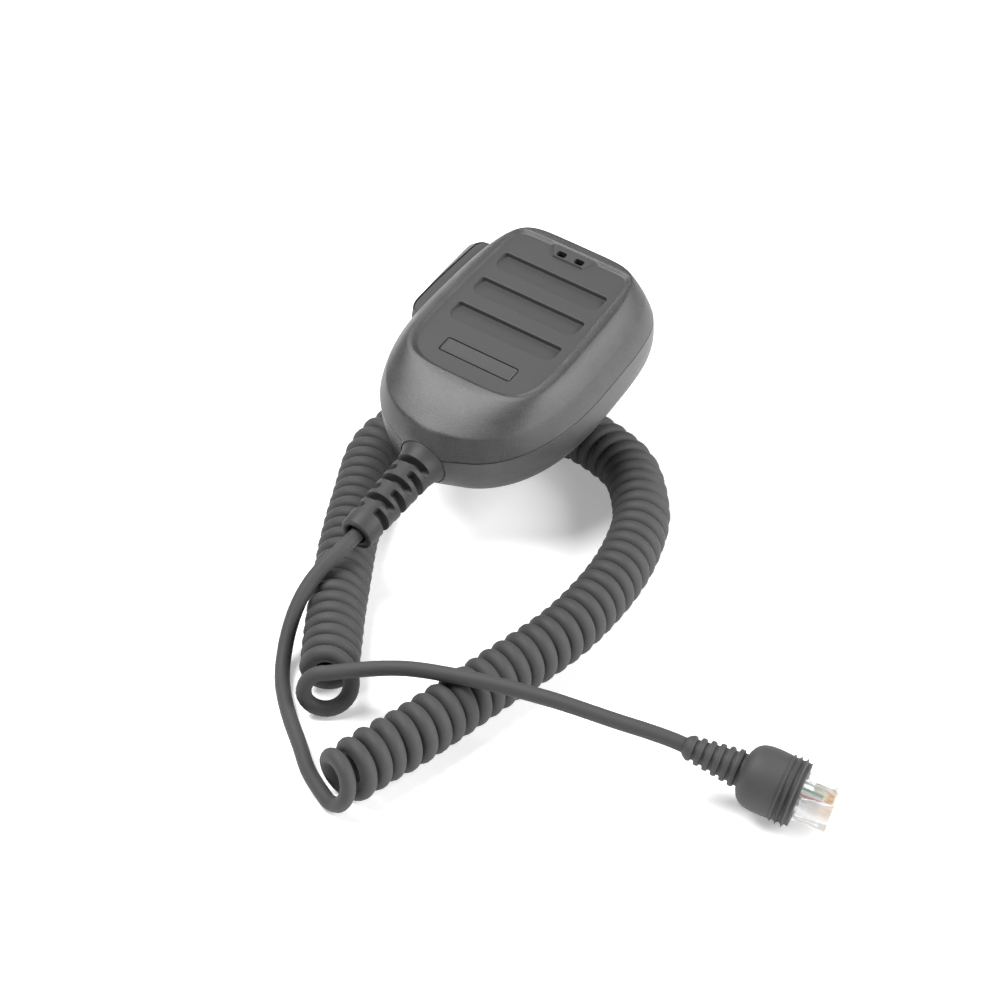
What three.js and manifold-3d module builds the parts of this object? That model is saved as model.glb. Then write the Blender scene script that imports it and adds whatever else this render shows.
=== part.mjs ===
// Hand microphone for a mobile two-way radio: a two-part shell with a press-to-talk lever on its
// left side, a curly cord, and a sealed eight-way modular plug. Millimetres, +Z up.
// The microphone lies on its own cord: the hang-up stud and the strain relief rest on the coil.

import * as THREE from 'three';
import { mergeVertices } from 'three/addons/utils/BufferGeometryUtils.js';
import Module from 'manifold-3d';

const wasm = await Module();
wasm.setup();

const { Vector3, MathUtils } = THREE;
const GAP = 0.3; // clearance between neighbouring pieces

// ---------- driving dimensions ----------

// The bench is z = 0 in the coordinates below. The origin of the part is the centre of the
// microphone's own box, cord and plug left out.
const ORIGIN = new Vector3(-2.73, -14.83, 39.24);
const FACE_HEIGHT = 54; // centre of the front face above the bench
const MICROPHONE_PITCH = 10.4; // degrees, top end raised
const MICROPHONE_ROLL = 3; // degrees, right side lowered

// Microphone: x across, y towards the top end, z out of the front face, whose rim is z = 0.
const PARTING_Z = -13;
const BACK_Z = -28.5;
const WALL = 2.2;
const RING_POINTS = 64;
const PANEL = { half: 21.7, top: 35.2, bottom: 23, topPower: 14, bottomPower: 4.3, taper: 0.0019 };
const RIM = { half: 24.2, top: 38.7, bottom: 24.2, topPower: 6, bottomPower: 4.3, taper: 0.001 };
const SHOULDER = { half: 30, top: 41, bottom: 41, topPower: 4.8, bottomPower: 2.4, taper: 0.0012 };
const PARTING = { half: 32.5, top: 41.9, bottom: 44.2, topPower: 4.7, bottomPower: 2.3, taper: 0.0008 };
const PANEL_DEPTH = 0.8;
const SHOULDER_DEPTH = 6;
const CEILING_Z = -3.6;
const FLOOR_Z = -26.7;

const POCKET = { width: 37, height: 6.8, depth: 1.5, pitch: 11.9, first: 25.6 };
const PLATE = { width: 24.8, height: 5, radius: 0.6, y: -14.7 };
const SOUND_HOLE = { x: 3.15, y: 32.9, width: 3.2, height: 2.1 };
const CAPSULE = { x: 0, y: 30.3, radius: 4.85 };

const LEVER_PIVOT = { x: -28.5, y: 0 };
const LEVER_TOP_Z = -8.2;
const LEVER_BOTTOM_Z = -18.8;
const PIN_RADIUS = 1;

const BOARD_TOP_Z = -14.6;
const BOARD_THICKNESS = 1.6;
const BOARD_SCREWS = [[17, 17], [-15, -19]];
const CASE_SCREWS = [[19, 29.5], [-19, 29.5], [15.5, -26], [-15.5, -26]];
const SWITCH = { x: -20, y: 19, z: -11.6, length: 7, width: 10 };
const CLAMP = { y: -34.5, post: 6.8 };
const STUD_Y = 8;

const CORD_RADIUS = 2.2;
const CORD_Z = -17.2;
const COLLAR_RADIUS = 7.8;
const RELIEF_SEAM = -44.5;
const RELIEF_END = -77.5;

// Cord routes on the bench.
const COIL_RADIUS = 8.5;
const MICROPHONE_LEAD_ROUTE = [
  [-0.9, -70.85, 23.5], [-0.9, -74.6, 22.8], [-1.3, -79, 21.9], [-2.4, -84.5, 20],
  [-3.3, -90, 17.4], [-3.4, -95.2, 14.4], [-2.8, -99.8, 11.2], [-1.5, -104.4, 7.8],
  [0.5, -108.8, 4.9], [3.6, -113.8, 2.9], [8.4, -119.5, 2.4], [16, -126.6, 2.4],
  [26.3, -134.7, 2.4], [35, -141.6, 2.4], [41, -145.6, 2.4], [46.4, -148.3, 2.4],
];
const COIL_ROUTE = [
  [47.4, -143.6], [50, -130], [53, -118.3], [57.7, -88.8], [61.6, -65.8], [62.4, -52],
  [61.4, -36], [58.7, -22.2], [54.1, -9], [49.4, -1], [40.5, 9], [32.3, 14.3], [16, 18.3],
  [0.5, 16.5], [-14, 10.5], [-25.5, 0], [-31, -12.5], [-30.4, -25.9], [-22, -43.5],
  [-12.2, -62.3], [-3, -77.7], [6.3, -92.8], [20.1, -113.6],
];
const PLUG_LEAD_ROUTE = [
  [20, -117, 14.7], [25.7, -113, 15.2], [32.1, -109.1, 15.7], [39.3, -105.7, 16.6],
  [45.2, -103.8, 17.6], [51.6, -102.5, 18.7], [57.9, -101.1, 19.5], [63.9, -99.4, 19.75],
  [69.9, -97.7, 19.75], [80.4, -95, 19.6], [88.2, -93.3, 19.4], [95.3, -91.9, 19.1],
  [102.2, -90.4, 18.7], [109.2, -88.6, 18.2], [116.19, -86.64, 17.21], [120.16, -85.64, 16.35],
];

// Plug: x along its axis from the boot's narrow end, y across, z out of the face with the contacts.
// It lies on the boot's last fins, nose down and rolled half over, with its latch to the front.
const PLUG_PLACE = new Vector3(120.46, -85.56, 16.28);
const PLUG_HEADING = 14.2; // degrees, turned to the left
const PLUG_PITCH = -11.95; // degrees, nose down
const PLUG_ROLL = -105.5; // degrees about its own axis
const BOOT_LENGTH = 33.2;
const BOOT_RIBS = 6;
const BOOT_RIB_PITCH = 2.64;
const BOOT_FINS = [28.05, 29.8, 31.6];
const MODULAR = { length: 21.5, width: 11.68, height: 6.5, nose: 42.9 };
const CONTACT_PITCH = 1.02;
const CONTACT_COUNT = 8;

// ---------- materials ----------

const SHELL_GREY = 0x4a4b4c;
const RUBBER_GREY = 0x3c3d3e;
const CORD_GREY = 0x444546;
const STEEL = 0xb4b6b8;

function finish(color, roughness, metalness = 0) {
  return { color, roughness, metalness };
}

const PLASTIC = finish(SHELL_GREY, 0.55);
const RUBBER = finish(RUBBER_GREY, 0.7);
const JACKET = finish(CORD_GREY, 0.65);
const METAL = finish(STEEL, 0.35, 1);

// The cord's conductors, in the order in which they lie in the plug's middle ways.
const CONDUCTORS = {
  green: 0x2d7a48, white: 0xe4e4e0, red: 0xa82a26, black: 0x1b1b1c, grey: 0x7d7f80, brown: 0x6a4a32,
};

// ---------- geometry helpers ----------

function toSolid(geometry) {
  const bare = geometry.clone();
  bare.deleteAttribute('normal');
  bare.deleteAttribute('uv');
  const merged = mergeVertices(bare, 1e-4);
  return new wasm.Manifold(new wasm.Mesh({
    numProp: 3,
    vertProperties: new Float32Array(merged.attributes.position.array),
    triVerts: new Uint32Array(merged.index.array),
  }));
}

function toGeometry(solid) {
  const mesh = solid.getMesh();
  const geometry = new THREE.BufferGeometry();
  geometry.setAttribute('position', new THREE.BufferAttribute(mesh.vertProperties, 3));
  geometry.setIndex(new THREE.BufferAttribute(mesh.triVerts, 1));
  return geometry;
}

function join(geometry, pieces) {
  return toGeometry(pieces.reduce((solid, piece) => solid.add(toSolid(piece)), toSolid(geometry)));
}

function cut(geometry, cutters) {
  return toGeometry(
    cutters.reduce((solid, cutter) => solid.subtract(toSolid(cutter)), toSolid(geometry)));
}

// A box given by its lowest and highest corners.
function block(low, high) {
  const size = high.map((value, axis) => value - low[axis]);
  const centre = high.map((value, axis) => (value + low[axis]) / 2);
  return new THREE.BoxGeometry(...size).translate(...centre);
}

// A cylinder along z from one height to another.
function post(x, y, radius, from, to, sides = 16) {
  return new THREE.CylinderGeometry(radius, radius, Math.abs(to - from), sides)
    .rotateX(Math.PI / 2)
    .translate(x, y, (from + to) / 2);
}

// A cylinder along y.
function barrel(x, z, radius, from, to, sides = 32) {
  return new THREE.CylinderGeometry(radius, radius, Math.abs(to - from), sides)
    .translate(x, (from + to) / 2, z);
}

// A cylinder along x.
function rod(y, z, radius, from, to, sides = 20) {
  return new THREE.CylinderGeometry(radius, radius, Math.abs(to - from), sides)
    .rotateZ(Math.PI / 2)
    .translate((from + to) / 2, y, z);
}

// A body of revolution about z. The profile is a list of [radius, z], in either direction.
function turned(profile, sides = 24) {
  const points = profile.map(([radius, z]) => new THREE.Vector2(radius, z));
  if (THREE.ShapeUtils.area(points) < 0) {
    points.reverse();
  }
  const first = points[0];
  const last = points[points.length - 1];
  if (first.x > 0 || last.x > 0) {
    points.push(first.clone());
  }
  return new THREE.LatheGeometry(points, sides).rotateX(Math.PI / 2);
}

function plate(shape, from, to, curveSegments = 5) {
  return new THREE.ExtrudeGeometry(shape, { depth: to - from, bevelEnabled: false, curveSegments })
    .translate(0, 0, from);
}

// A rectangle with one radius on its upper corners and another on its lower ones.
function roundedRectangle(width, height, upper, lower, x, y) {
  const right = x + width / 2;
  const left = x - width / 2;
  const top = y + height / 2;
  const bottom = y - height / 2;
  const shape = new THREE.Shape();
  shape.moveTo(left + lower, bottom);
  shape.lineTo(right - lower, bottom);
  shape.absarc(right - lower, bottom + lower, lower, -Math.PI / 2, 0);
  shape.lineTo(right, top - upper);
  shape.absarc(right - upper, top - upper, upper, 0, Math.PI / 2);
  shape.lineTo(left + upper, top);
  shape.absarc(left + upper, top - upper, upper, Math.PI / 2, Math.PI);
  shape.lineTo(left, bottom + lower);
  shape.absarc(left + lower, bottom + lower, lower, Math.PI, 1.5 * Math.PI);
  return shape;
}

// One closed outline of the microphone seen from the front, drawn in towards its centre by inset.
// Each half is a superellipse. The upper half's sides lean in towards the top end by the taper.
function ring(plan, z, inset = 0) {
  return Array.from({ length: RING_POINTS }, (_, index) => {
    const angle = (index / RING_POINTS) * 2 * Math.PI;
    const across = Math.abs(Math.cos(angle)) / (plan.half - inset);
    const isUpper = Math.sin(angle) >= 0;
    const reach = (isUpper ? plan.top : plan.bottom) - inset;
    const power = isUpper ? plan.topPower : plan.bottomPower;
    const along = Math.abs(Math.sin(angle)) / reach;
    const radius = (across ** power + along ** power) ** (-1 / power);
    const y = radius * Math.sin(angle);
    return new Vector3(radius * Math.cos(angle) * (1 - plan.taper * Math.max(y, 0)), y, z);
  });
}

function between(inner, outer, share, z) {
  return inner.map((point, index) => point.clone().lerp(outer[index], share).setZ(z));
}

// A closed skin through rings with equal numbers of points, capped at both ends. Seen from the
// front, the rings run from the back of the skin's wall to its front.
function loft(rings) {
  const count = rings[0].length;
  const positions = rings.flat().flatMap((point) => [point.x, point.y, point.z]);
  const indices = [];
  for (let level = 0; level + 1 < rings.length; level += 1) {
    for (let index = 0; index < count; index += 1) {
      const a = level * count + index;
      const b = level * count + ((index + 1) % count);
      indices.push(a, b, b + count, a, b + count, a + count);
    }
  }
  for (const [level, isFirst] of [[0, true], [rings.length - 1, false]]) {
    const centre = positions.length / 3;
    const z = rings[level][0].z;
    positions.push(0, 0, z);
    for (let index = 0; index < count; index += 1) {
      const a = level * count + index;
      const b = level * count + ((index + 1) % count);
      indices.push(...(isFirst ? [b, a, centre] : [a, b, centre]));
    }
  }
  const geometry = new THREE.BufferGeometry();
  geometry.setAttribute('position', new THREE.Float32BufferAttribute(positions, 3));
  geometry.setIndex(indices);
  return geometry;
}

// A round tube along a smooth route.
function tube(route, radius, sides, steps) {
  const path = new THREE.CatmullRomCurve3(route.map((point) => new Vector3(...point)));
  const section = new THREE.Shape(Array.from({ length: sides }, (_, index) => {
    const angle = (index / sides) * 2 * Math.PI;
    return new THREE.Vector2(radius * Math.cos(angle), radius * Math.sin(angle));
  }));
  return new THREE.ExtrudeGeometry(section, { steps, bevelEnabled: false, extrudePath: path });
}

// A pan-head screw pointing along +z, with a cross recess in its head. Its head's seat is z = 0.
function screw(shankRadius, length, headRadius, headHeight) {
  const body = turned([
    [0, length], [shankRadius, length - shankRadius], [shankRadius, 0], [headRadius, 0],
    [headRadius, -headHeight * 0.6], [headRadius * 0.7, -headHeight], [0, -headHeight],
  ], 12);
  const reach = headRadius * 0.6;
  const slot = 0.25;
  const depth = headHeight * 0.5;
  return cut(body, [
    block([-reach, -slot, -headHeight - 1], [reach, slot, -headHeight + depth]),
    block([-slot, -reach, -headHeight - 1], [slot, reach, -headHeight + depth]),
  ]);
}

const microphone = new THREE.Group();
const plug = new THREE.Group();
const bench = new THREE.Group();

function add(group, name, geometry, look) {
  const mesh = new THREE.Mesh(geometry, new THREE.MeshStandardMaterial(look));
  mesh.name = name;
  group.add(mesh);
  return mesh;
}

// ---------- shells ----------

const leverWindow = block([-40, -4.2, -19.1], [-25.9, 32.6, -7.9]);
const collarHole = barrel(0, CORD_Z, COLLAR_RADIUS + GAP, -52, -38.6, 24);
const LAND = WALL / 2; // width of the outer joint face, outside the gasket's groove

function frontShell() {
  const rim = ring(RIM, 0);
  const shoulder = ring(SHOULDER, -SHOULDER_DEPTH);
  const face = PARTING_Z + GAP / 2;
  const facet = [0.25, 0.5, 0.72, 0.88].map((share) =>
    between(rim, shoulder, share, -SHOULDER_DEPTH * share ** 1.45));
  const skin = loft([
    ring(PANEL, CEILING_Z, 1),
    ring(PANEL, CEILING_Z, -1.4),
    ring(SHOULDER, -8.2, WALL + 0.6),
    ring(PARTING, face + 0.85, WALL),
    ring(PARTING, face + 0.85, LAND),
    ring(PARTING, face, LAND),
    ring(PARTING, face),
    between(shoulder, ring(PARTING, 0), 0.45, -8.6),
    shoulder,
    ...facet.reverse(),
    rim,
    ring(PANEL, 0, -0.9),
    ring(PANEL, -PANEL_DEPTH),
  ]);
  const bosses = [
    ...CASE_SCREWS.map(([x, y]) => post(x, y, 3.2, y > 0 ? -3.2 : -6, face)),
    ...BOARD_SCREWS.map(([x, y]) => post(x, y, 2.5, -3.2, BOARD_TOP_Z + GAP)),
    cut(post(CAPSULE.x, CAPSULE.y, 7.3, -3.2, -9, 24),
      [post(CAPSULE.x, CAPSULE.y, 6.3, -3.3, -10, 24)]),
    post(LEVER_PIVOT.x, LEVER_PIVOT.y, 2.6, -5, -7.9),
    soundHoleSurround(),
  ];
  const pocketCutters = [0, 1, 2].map((index) => pocketCutter(POCKET.first - index * POCKET.pitch));
  const plateRecess = plate(
    roundedRectangle(PLATE.width + 2 * GAP, PLATE.height + 2 * GAP,
      PLATE.radius + GAP, PLATE.radius + GAP, 0, PLATE.y),
    -PANEL_DEPTH - 0.75, 1);
  const soundHoles = [-1, 1].map((side) => plate(
    roundedRectangle(
      SOUND_HOLE.width, SOUND_HOLE.height, 0.7, 0.7, side * SOUND_HOLE.x, SOUND_HOLE.y),
    -5, 1));
  return cut(join(skin, bosses), [
    ...pocketCutters,
    plateRecess,
    ...soundHoles,
    leverWindow,
    collarHole,
    ...CASE_SCREWS.map(([x, y]) => post(x, y, 1.55, y > 0 ? -5 : -8, -14, 16)),
    ...BOARD_SCREWS.map(([x, y]) => post(x, y, 1.3, -5, -16, 16)),
    post(LEVER_PIVOT.x, LEVER_PIVOT.y, PIN_RADIUS + GAP, -5.6, -9, 16),
  ]);
}

// A recess with a steep upper wall and a floor that rises flush at its lower edge.
function pocketCutter(top) {
  const outline = roundedRectangle(POCKET.width, POCKET.height, 1, 3.3, 0, POCKET.height / 2);
  return plate(outline, 0, 5)
    .rotateX(-Math.asin(POCKET.depth / POCKET.height))
    .translate(0, top - POCKET.height, -PANEL_DEPTH);
}

// The raised tab round the two sound holes, at the top of the panel.
function soundHoleSurround() {
  const shape = new THREE.Shape();
  shape.moveTo(-8.2, 36);
  shape.lineTo(-5.3, 31.3);
  shape.lineTo(5.3, 31.3);
  shape.lineTo(8.2, 36);
  return plate(shape, -2, -0.4);
}

function rearShell() {
  const face = PARTING_Z - GAP / 2;
  const skin = loft([
    ring(PARTING, FLOOR_Z, 9.5),
    ring(PARTING, FLOOR_Z + 1.6, 5.6),
    ring(PARTING, -22, 3.4),
    ring(PARTING, face - 0.85, WALL),
    ring(PARTING, face - 0.85, LAND),
    ring(PARTING, face, LAND),
    ring(PARTING, face),
    ring(PARTING, -20, 0.5),
    ring(PARTING, -24, 1.5),
    ring(PARTING, -26.6, 3.2),
    ring(PARTING, -28, 5.8),
    ring(PARTING, BACK_Z, 8.8),
  ].reverse());
  const bosses = [
    ...CASE_SCREWS.map(([x, y]) => post(x, y, 4.2, BACK_Z + 0.9, -21)),
    ...CASE_SCREWS.map(([x, y]) => post(x, y, 3.1, -22, face - GAP)),
    post(LEVER_PIVOT.x, LEVER_PIVOT.y, 2.8, FLOOR_Z - 0.5, -19.1),
    ...[-1, 1].map((side) => post(side * CLAMP.post, CLAMP.y, 2.6, FLOOR_Z - 0.5, -15.3)),
    block([-3, CLAMP.y - 1, FLOOR_Z - 0.5], [3, CLAMP.y + 1, CORD_Z - CORD_RADIUS - GAP]),
    post(0, STUD_Y, 9.5, BACK_Z - 1.2, BACK_Z + 1, 28),
  ];
  return cut(join(skin, bosses), [
    leverWindow,
    collarHole,
    ...CASE_SCREWS.map(([x, y]) => post(x, y, 3, -30, -25.3)),
    ...CASE_SCREWS.map(([x, y]) => post(x, y, 1.6, -30, -12, 16)),
    ...[-1, 1].map((side) => post(side * CLAMP.post, CLAMP.y, 1.3, -22, -12, 16)),
    post(LEVER_PIVOT.x, LEVER_PIVOT.y, PIN_RADIUS + GAP, -21, -18, 16),
    post(0, STUD_Y, 1.9, -32, -24),
  ]);
}

add(microphone, 'front_shell', frontShell(), PLASTIC);
add(microphone, 'rear_shell', rearShell(), PLASTIC);

// The gasket lies in the groove between the shells and ends either side of the lever's window.
function housingGasket() {
  const outer = loft([
    ring(PARTING, PARTING_Z - 0.7, LAND + GAP),
    ring(PARTING, PARTING_Z + 0.7, LAND + GAP),
  ]);
  const inner = loft([
    ring(PARTING, PARTING_Z - 1, WALL + 0.1),
    ring(PARTING, PARTING_Z + 1, WALL + 0.1),
  ]);
  return cut(outer, [
    inner,
    block([-40, -4.5, -20], [-26, 32.9, -7]),
    block([-COLLAR_RADIUS - 1, -50, -20], [COLLAR_RADIUS + 1, -38, -7]),
  ]);
}

// The gasket's short run between the cord and the lever, and its long run round the other side.
const gasket = toSolid(housingGasket()).decompose();
gasket.forEach((run, index) => {
  add(microphone, `housing_gasket_${index + 1}`, toGeometry(run), RUBBER);
});

add(microphone, 'name_plate',
  plate(roundedRectangle(PLATE.width, PLATE.height, PLATE.radius, PLATE.radius, 0, PLATE.y),
    -PANEL_DEPTH - 0.45, -PANEL_DEPTH + 0.05), finish(0x2e2f30, 0.4));

// ---------- press-to-talk lever ----------

function leverOutline() {
  const shape = new THREE.Shape();
  const { x, y } = LEVER_PIVOT;
  shape.moveTo(-31.6, -3.7);
  shape.lineTo(-33, -3.6);
  shape.quadraticCurveTo(-34.9, -3.2, -35.4, -0.6);
  shape.lineTo(-36, 3.4);
  shape.lineTo(-36.3, 28.4);
  shape.quadraticCurveTo(-36.3, 30.6, -34.4, 31.3);
  shape.lineTo(-30.2, 31.6);
  shape.lineTo(-30.2, SWITCH.y + 4);
  shape.lineTo(-25.6, SWITCH.y + 1.6);
  shape.lineTo(-25.6, SWITCH.y - 1.6);
  shape.lineTo(-30.2, SWITCH.y - 4);
  shape.lineTo(-30.2, 4.2);
  shape.lineTo(x + 1.2, y + 2.08);
  shape.absarc(x, y, 2.4, Math.PI / 3, -Math.PI / 2, true);
  return shape;
}

add(microphone, 'ptt_lever', cut(
  plate(leverOutline(), LEVER_BOTTOM_Z, LEVER_TOP_Z, 8),
  [post(LEVER_PIVOT.x, LEVER_PIVOT.y, PIN_RADIUS + GAP, -20, -7, 16)]), PLASTIC);
add(microphone, 'ptt_pivot_pin',
  post(LEVER_PIVOT.x, LEVER_PIVOT.y, PIN_RADIUS, -20.7, -5.9, 16), METAL);

// ---------- switch, board and microphone capsule ----------

const switchFront = SWITCH.x - SWITCH.length / 2;

add(microphone, 'switch_body', cut(
  block([switchFront, SWITCH.y - SWITCH.width / 2, BOARD_TOP_Z + GAP],
    [SWITCH.x + SWITCH.length / 2, SWITCH.y + SWITCH.width / 2, -9]),
  [rod(SWITCH.y, SWITCH.z, 1.4, switchFront - 1, switchFront + 5)]), finish(0x202122, 0.5));
add(microphone, 'switch_plunger',
  rod(SWITCH.y, SWITCH.z, 1.1, -25.3, switchFront + 2.9), finish(0xb8322a, 0.45));

add(microphone, 'circuit_board', cut(
  plate(roundedRectangle(44, 47, 2, 2, 0, 1), BOARD_TOP_Z - BOARD_THICKNESS, BOARD_TOP_Z),
  BOARD_SCREWS.map(([x, y]) => post(x, y, 1.4, -20, -10, 16))), finish(0x1f5a35, 0.5));
add(microphone, 'board_chip', block([-1, -3, BOARD_TOP_Z + GAP], [5, 2, BOARD_TOP_Z + 1.8]),
  finish(0x1a1a1b, 0.5));

BOARD_SCREWS.forEach(([x, y], index) => {
  const mesh = add(microphone, `board_screw_${index + 1}`, screw(1, 8, 2, 1.3), METAL);
  mesh.position.set(x, y, BOARD_TOP_Z - BOARD_THICKNESS - GAP);
});

add(microphone, 'mic_capsule',
  post(CAPSULE.x, CAPSULE.y, CAPSULE.radius, -12.2, -5.9, 24), finish(0xa9abad, 0.4, 1));
const capsuleBoot = add(microphone, 'capsule_boot', turned([
  [3, -4.6], [6, -4.6], [6, -12.6], [5.15, -12.6], [5.15, -5.6], [3, -5.6],
], 24), RUBBER);
capsuleBoot.position.set(CAPSULE.x, CAPSULE.y, 0);
add(microphone, 'dust_screen',
  post(CAPSULE.x, CAPSULE.y, 5.8, -4.3, -3.95, 24), finish(0x161616, 0.9));

// ---------- fasteners ----------

CASE_SCREWS.forEach(([x, y], index) => {
  const length = y > 0 ? 18.5 : 15.5;
  const mesh = add(microphone, `case_screw_${index + 1}`, screw(1.2, length, 2.6, 1.7), METAL);
  mesh.position.set(x, y, -25.3 - GAP);
});

// ---------- hang-up stud ----------

const studSeat = BACK_Z - 1.2 - GAP;
const stud = add(microphone, 'hang_up_stud', cut(turned([
  [0, 0], [4.3, 0], [4.3, -4.2], [6.6, -4.6], [7, -5.2], [7, -7.2], [6.2, -8.3], [0, -8.3],
], 28), [
  post(0, 0, 3, -9, -5.8),
  post(0, 0, 1.8, -9, 1),
]), finish(0x2a2b2c, 0.45));
stud.position.set(0, STUD_Y, studSeat);
const studScrew = add(microphone, 'stud_screw', screw(1.5, 10, 2.6, 1.6), METAL);
studScrew.position.set(0, STUD_Y, studSeat - 5.8 - GAP);
add(microphone, 'stud_nut', cut(post(0, STUD_Y, 3.2, FLOOR_Z + GAP, -24.2, 6),
  [post(0, STUD_Y, 1.8, -28, -22)]), METAL);

// ---------- cord entry ----------

// The sleeve is cut by pairs of slots, top and bottom, then left and right, so that it can bend.
function strainRelief() {
  const start = -39;
  const along = (y) => start - y;
  const sleeve = turned([
    [2.6, 0], [COLLAR_RADIUS, 0], [COLLAR_RADIUS, along(RELIEF_SEAM)], [6.7, along(-46.4)],
    [6.2, along(-48.4)], [5.3, along(RELIEF_END)], [3.5, along(RELIEF_END)],
    [3.5, along(-74.4)], [2.6, along(-74.4)],
  ], 24).rotateX(Math.PI / 2).translate(0, start, CORD_Z);
  const flange = cut(block([-8.8, start - 0.4, -21.6], [8.8, start + 1.3, -12.2]),
    [barrel(0, CORD_Z, 2.6, -43, -37, 24)]);
  const firstSlot = -50.4;
  const slotPitch = 8.1;
  const slots = [0, 1, 2].flatMap((index) => {
    const y = firstSlot - index * slotPitch;
    return [...slotPair(y, 0), ...slotPair(y - slotPitch / 2, Math.PI / 2)];
  });
  return cut(join(sleeve, [flange]), slots.map((slot) => slot.translate(0, 0, CORD_Z)));
}

// Cutters for two arc-shaped slots across the y axis from each other, facing along z when the
// turn is zero. Between them they leave two webs as wide as half the arc that isn't cut.
function slotPair(y, turn) {
  const halfWidth = 0.95;
  const halfArc = MathUtils.degToRad(66);
  const core = 3.9;
  const outside = 9;
  return [turn, turn + Math.PI].map((middle) => {
    const shape = new THREE.Shape();
    shape.absarc(0, 0, outside, middle - halfArc, middle + halfArc, false);
    shape.absarc(0, 0, core, middle + halfArc, middle - halfArc, true);
    return plate(shape, -halfWidth, halfWidth, 8)
      .rotateX(Math.PI / 2)
      .rotateY(Math.PI / 2)
      .translate(0, y, 0);
  });
}

add(microphone, 'strain_relief', strainRelief(), RUBBER);
add(microphone, 'inner_cord', barrel(0, CORD_Z, CORD_RADIUS, -74.9, -30, 12), JACKET);
add(microphone, 'cord_clamp', cut(
  plate(roundedRectangle(19, 4.6, 1.5, 1.5, 0, CLAMP.y), -14.9, -13.1),
  [-1, 1].map((side) => post(side * CLAMP.post, CLAMP.y, 1.4, -16, -12, 16))), METAL);
[-1, 1].forEach((side, index) => {
  const mesh = add(microphone, `clamp_screw_${index + 1}`,
    screw(1, 8, 2, 1.3).rotateX(Math.PI), METAL);
  mesh.position.set(side * CLAMP.post, CLAMP.y, -13.1 + GAP);
});

const BOARD_BOTTOM_Z = BOARD_TOP_Z - BOARD_THICKNESS;
add(microphone, 'board_connector',
  block([-5.5, -21.5, BOARD_BOTTOM_Z - 5], [5.5, -15, BOARD_BOTTOM_Z - GAP]), finish(0xe6e1d2, 0.5));
Object.entries(CONDUCTORS).forEach(([name, color], index) => {
  const side = index < 3 ? -0.9 : 0.9;
  const start = [side, -29.7, CORD_Z + ((index % 3) - 1) * 1.3];
  const end = [(index - 2.5) * 1.8, -21.9, -18.8];
  const route = [start, [start[0], -28, start[2]], [end[0], -24.5, -18.8], end];
  add(microphone, `inner_wire_${name}`, tube(route, 0.4, 6, 8), finish(color, 0.5));
});

// ---------- cord ----------

add(bench, 'cord_lead_microphone', tube(MICROPHONE_LEAD_ROUTE, CORD_RADIUS, 8, 20), JACKET);
add(bench, 'cord_coil', tube(COIL_ROUTE.map(([x, y]) => [x, y, COIL_RADIUS]), COIL_RADIUS, 12, 38),
  JACKET);
add(bench, 'cord_lead_plug', tube(PLUG_LEAD_ROUTE, CORD_RADIUS, 8, 22), JACKET);

// ---------- plug ----------

// A ribbed taper, a bulb, and thin sealing fins, hollow at the wide end for the plug.
function plugBoot() {
  const profile = [[0, 0], [2.6, 0]];
  for (let index = 0; index < BOOT_RIBS; index += 1) {
    const start = 0.8 + index * BOOT_RIB_PITCH;
    const radius = 3.4 + index * 0.34;
    profile.push([radius, start], [radius + 0.25, start + 0.8], [radius, start + 1.6]);
    profile.push([radius - 0.55, start + 1.9], [radius - 0.45, start + 2.4]);
  }
  profile.push([5.3, 16.6], [7, 17.4], [8.4, 18.9], [9.1, 20.8], [9.3, 23.4], [9.15, 27.3]);
  BOOT_FINS.forEach((middle, index) => {
    const radius = 9.65 + index * 0.12;
    profile.push([9, middle - 0.5], [radius, middle - 0.15], [radius, middle + 0.15]);
    profile.push([9, middle + 0.5]);
  });
  profile.push([9, BOOT_LENGTH], [0, BOOT_LENGTH]);
  const body = turned(profile, 20).rotateY(Math.PI / 2);
  const start = MODULAR.nose - MODULAR.length - GAP;
  const halfWidth = MODULAR.width / 2 + GAP;
  const halfHeight = MODULAR.height / 2 + GAP;
  return cut(body, [block([start, -halfWidth, -halfHeight], [BOOT_LENGTH + 1, halfWidth, halfHeight])]);
}

add(plug, 'plug_boot', plugBoot(), RUBBER);

const wayY = (index) => (index - (CONTACT_COUNT - 1) / 2) * CONTACT_PITCH;
const plugStart = MODULAR.nose - MODULAR.length;
const WIRE_END = MODULAR.nose - 3.7;
const CONTACT_START = MODULAR.nose - 6.7;

// Clear plug body: a wire channel open at the back, and a slot for each contact at the nose.
function modularPlug() {
  const halfWidth = MODULAR.width / 2;
  const halfHeight = MODULAR.height / 2;
  const channel = block([plugStart - 1, -4.4, -0.75], [WIRE_END + GAP, 4.4, 0.75]);
  const slots = Array.from({ length: CONTACT_COUNT }, (_, index) =>
    block([CONTACT_START - GAP, wayY(index) - 0.3, 0.7],
      [MODULAR.nose - 0.7, wayY(index) + 0.3, 4]));
  const window = block([MODULAR.nose - 14.8, -4.2, 1.6], [MODULAR.nose - 11.3, 4.2, 4]);
  return cut(block([plugStart, -halfWidth, -halfHeight], [MODULAR.nose, halfWidth, halfHeight]),
    [channel, ...slots, window]);
}

add(plug, 'modular_plug', modularPlug(), {
  ...finish(0xe8ecee, 0.1), transparent: true, opacity: 0.4,
});

Object.entries(CONDUCTORS).forEach(([name, color], index) => {
  add(plug, `plug_wire_${name}`, rod(wayY(index + 1), 0, 0.42, plugStart + 0.2, WIRE_END, 8),
    finish(color, 0.5));
});
for (let index = 0; index < CONTACT_COUNT; index += 1) {
  const y = wayY(index);
  add(plug, `plug_contact_${index + 1}`,
    block([CONTACT_START, y - 0.14, 0.85], [MODULAR.nose - 1, y + 0.14, 2.9]),
    finish(0xd0a24a, 0.3, 1));
}

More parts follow.
